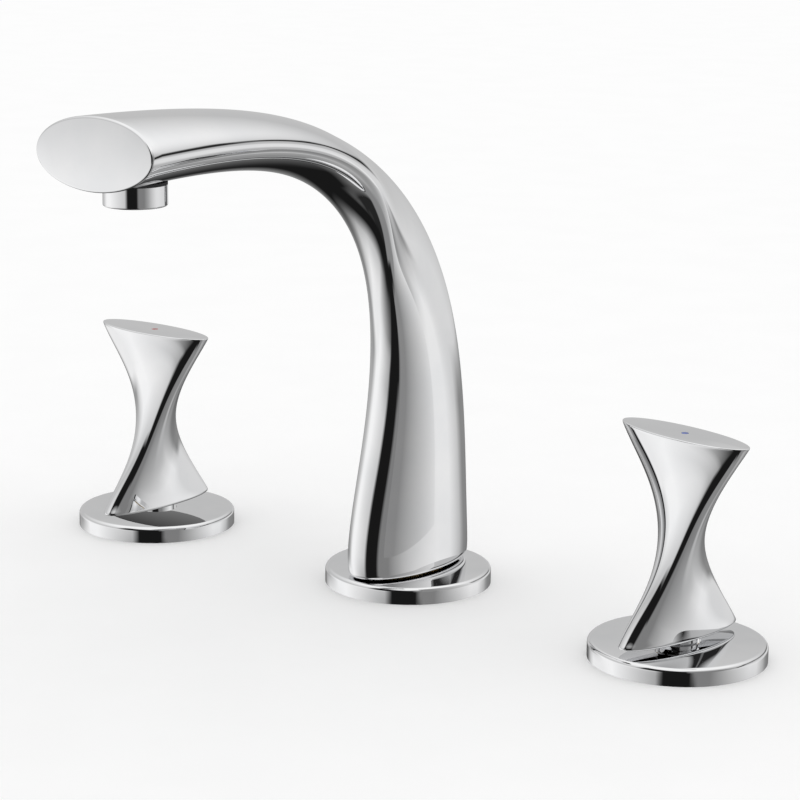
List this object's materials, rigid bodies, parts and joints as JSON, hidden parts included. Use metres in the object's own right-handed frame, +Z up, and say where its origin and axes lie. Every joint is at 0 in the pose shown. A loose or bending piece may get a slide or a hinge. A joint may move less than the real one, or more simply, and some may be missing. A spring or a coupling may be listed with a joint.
{
  "type": "widespread bathroom faucet",
  "caption": "Chrome widespread basin faucet: a twisted arched spout and twisted quarter-turn handles on round deck plates, with valves, shank, tee and mounting nuts.",
  "frame": {"origin": "on the deck's top surface, at the axis of the spout's plate", "axes": "+Z up from the deck, +X from the hot handle to the cold handle, -Y towards the user"},
  "size_m": [0.2532, 0.1535, 0.2453],
  "materials": {
    "polished_chrome": "mirror-polished chrome plate on cast brass",
    "brass": "machined brass",
    "copper": "drawn copper; brass stands in for it",
    "stainless_steel": "plain stainless steel",
    "rubber": "matt black rubber",
    "ceramic": "lapped alumina ceramic; gloss_plastic stands in for it",
    "white_plastic": "moulded acetal",
    "hot_index": "red enamel dot",
    "cold_index": "blue enamel dot"
  },
  "bodies": {
    "deck_assembly": {"aerator_housing": "polished_chrome", "aerator_insert": "white_plastic", "aerator_screen": "stainless_steel", "aerator_seal": "rubber", "cold_cartridge_housing": "brass", "cold_cross_tube": "copper", "cold_fixed_disc": "ceramic", "cold_lock_nut": "brass", "cold_plate": "polished_chrome", "cold_plate_gasket": "rubber", "cold_rubber_washer": "rubber", "cold_seat_seal": "rubber", "cold_steel_washer": "stainless_steel", "cold_tee_nut": "brass", "cold_top_nut": "brass", "cold_valve_body": "brass", "cold_valve_nut": "brass", "hot_cartridge_housing": "brass", "hot_cross_tube": "copper", "hot_fixed_disc": "ceramic", "hot_lock_nut": "brass", "hot_plate": "polished_chrome", "hot_plate_gasket": "rubber", "hot_rubber_washer": "rubber", "hot_seat_seal": "rubber", "hot_steel_washer": "stainless_steel", "hot_tee_nut": "brass", "hot_top_nut": "brass", "hot_valve_body": "brass", "hot_valve_nut": "brass", "spout_body": "polished_chrome", "spout_lock_nut": "brass", "spout_plate": "polished_chrome", "spout_plate_gasket": "rubber", "spout_rubber_washer": "rubber", "spout_screw": "stainless_steel", "spout_shank": "brass", "spout_socket": "brass", "spout_socket_ring_1": "rubber", "spout_socket_ring_2": "rubber", "spout_steel_washer": "stainless_steel", "spout_tee": "brass", "spout_tee_seal": "rubber"},
    "hot_handle_body": {"hot_handle": "polished_chrome", "hot_handle_insert": "white_plastic", "hot_handle_screw": "stainless_steel", "hot_index_dot": "hot_index", "hot_spindle": "brass", "hot_spindle_ring": "rubber", "hot_moving_disc": "ceramic"},
    "cold_handle_body": {"cold_handle": "polished_chrome", "cold_handle_insert": "white_plastic", "cold_handle_screw": "stainless_steel", "cold_index_dot": "cold_index", "cold_spindle": "brass", "cold_spindle_ring": "rubber", "cold_moving_disc": "ceramic"}
  },
  "joints": [
    {"name": "hot_handle_turn", "type": "hinge", "parent": "deck_assembly", "child": "hot_handle_body", "pos_m": [-0.1016, -0.0055, 0.03], "axis": [0, 0, 1], "range_deg": [0, 90]},
    {"name": "cold_handle_turn", "type": "hinge", "parent": "deck_assembly", "child": "cold_handle_body", "pos_m": [0.1016, -0.0055, 0.03], "axis": [0, 0, 1], "range_deg": [-90, 0]}
  ]
}
